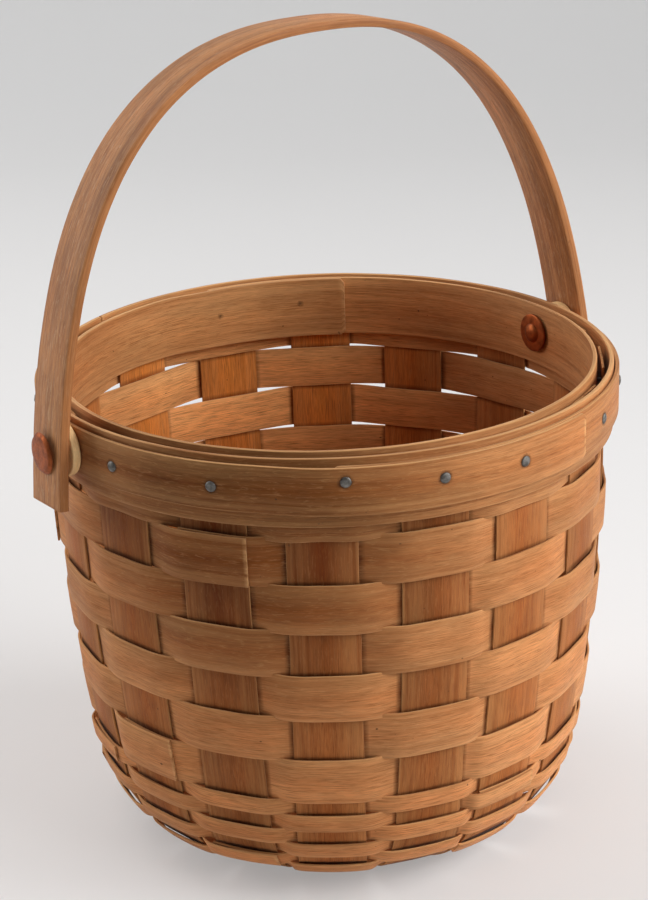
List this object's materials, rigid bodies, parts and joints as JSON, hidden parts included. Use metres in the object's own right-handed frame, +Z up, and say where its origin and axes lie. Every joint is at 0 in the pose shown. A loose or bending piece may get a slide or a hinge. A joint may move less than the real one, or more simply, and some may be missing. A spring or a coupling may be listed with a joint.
{
  "type": "swing-handle basket",
  "caption": "Round basket woven from wide and narrow wood splints, with a nailed bent rim and an arched flat handle that swings on riveted pivots.",
  "frame": {"origin": "on the ground, under the middle of the base", "axes": "+Z up; +X along the handle's pivot axis, through the rivets; +Y is the side that the standing handle leans to a little"},
  "size_m": [0.253, 0.2318, 0.3237],
  "materials": {
    "splint": "bare ash splint, aged to honey tan, lightly fuzzy",
    "weaver": "bare ash splint, aged to honey tan, with pale cut edges",
    "rim": "bent ash, rubbed smooth at the rim",
    "handle": "steam-bent ash, worn by the hand",
    "spacer": "turned pale wood, bare",
    "copper": "copper, dulled and darkened",
    "nail_steel": "plain steel, slightly stained"
  },
  "bodies": {
    "basket": {"splint_1": "splint", "splint_2": "splint", "splint_3": "splint", "splint_4": "splint", "splint_5": "splint", "splint_6": "splint", "splint_7": "splint", "splint_8": "splint", "wide_weaver_1": "weaver", "wide_weaver_2": "weaver", "wide_weaver_3": "weaver", "wide_weaver_4": "weaver", "wide_weaver_5": "weaver", "wide_weaver_6": "weaver", "wide_weaver_7": "weaver", "narrow_weaver_1": "weaver", "narrow_weaver_2": "weaver", "narrow_weaver_3": "weaver", "narrow_weaver_4": "weaver", "narrow_weaver_5": "weaver", "narrow_weaver_6": "weaver", "inner_rim_band": "rim", "outer_rim_band": "rim", "outer_rim_hoop": "rim", "left_spacer": "spacer", "left_rivet": "copper", "left_washer": "copper", "right_spacer": "spacer", "right_rivet": "copper", "right_washer": "copper", "nail_01": "nail_steel", "nail_02": "nail_steel", "nail_03": "nail_steel", "nail_04": "nail_steel", "nail_05": "nail_steel", "nail_06": "nail_steel", "nail_07": "nail_steel", "nail_08": "nail_steel", "nail_09": "nail_steel", "nail_10": "nail_steel", "nail_11": "nail_steel", "nail_12": "nail_steel", "nail_13": "nail_steel", "nail_14": "nail_steel", "nail_15": "nail_steel", "nail_16": "nail_steel"},
    "handle": {"handle": "handle"}
  },
  "joints": [
    {"name": "handle_swing", "type": "hinge", "parent": "basket", "child": "handle", "pos_m": [0, 0, 0.18047], "axis": [1, 0, 0], "range_deg": [-121, 127]}
  ]
}
